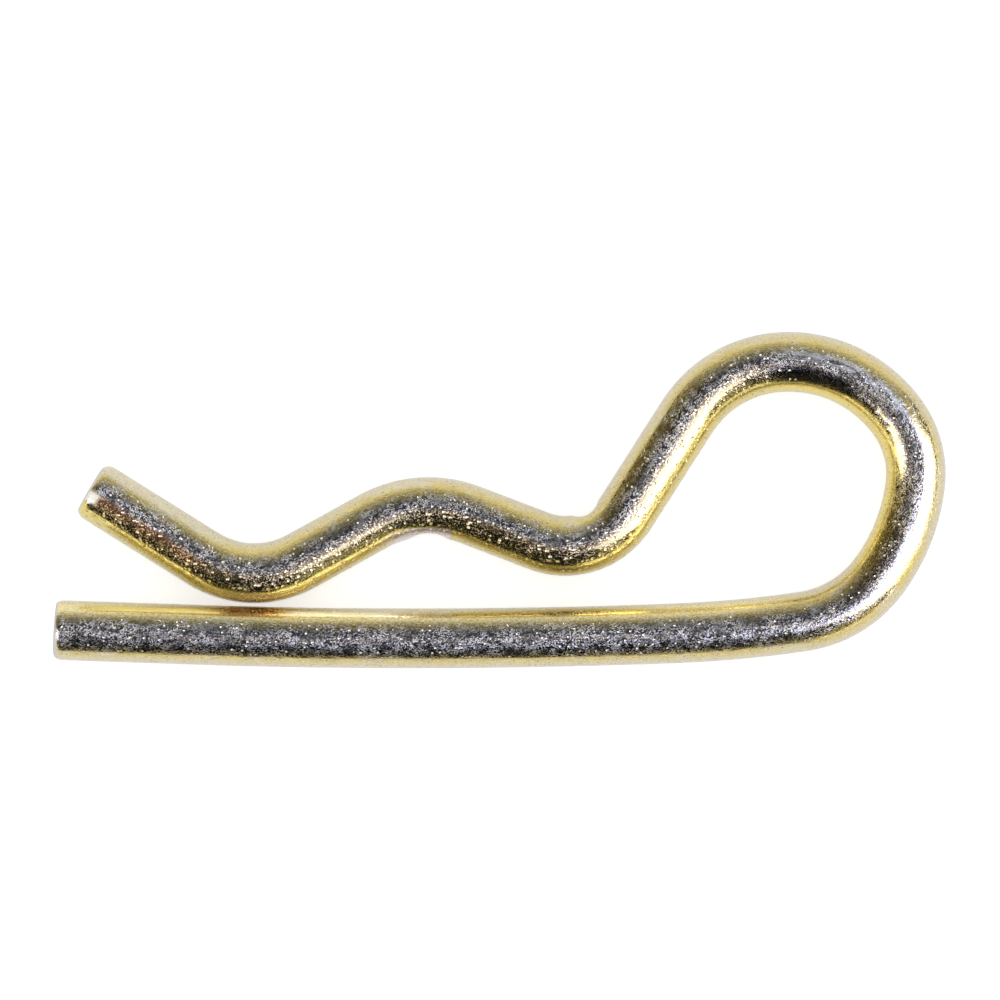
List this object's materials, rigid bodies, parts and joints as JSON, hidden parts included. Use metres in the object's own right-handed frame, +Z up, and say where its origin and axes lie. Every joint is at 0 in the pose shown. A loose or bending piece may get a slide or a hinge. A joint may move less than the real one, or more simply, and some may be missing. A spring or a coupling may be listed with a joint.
{
  "type": "hitch pin clip",
  "caption": "Spring wire clip for a hitch pin: a straight leg goes through the pin's cross hole, a waved arm snaps round the pin, and an open loop joins them and takes a finger.",
  "frame": {"origin": "middle of the underside of the clip's bounding box, with the clip lying flat on its side", "axes": "+X along the leg from its free end towards the loop, +Y from the leg towards the waved arm, +Z up, square to the plane in which the wire is bent"},
  "size_m": [0.0588, 0.0234, 0.004],
  "materials": {
    "zinc_wire": "bright zinc plate with yellow chromate, grainy, worn silvery at both ends"
  },
  "bodies": {
    "root": {"clip_wire": "zinc_wire"}
  },
  "joints": []
}
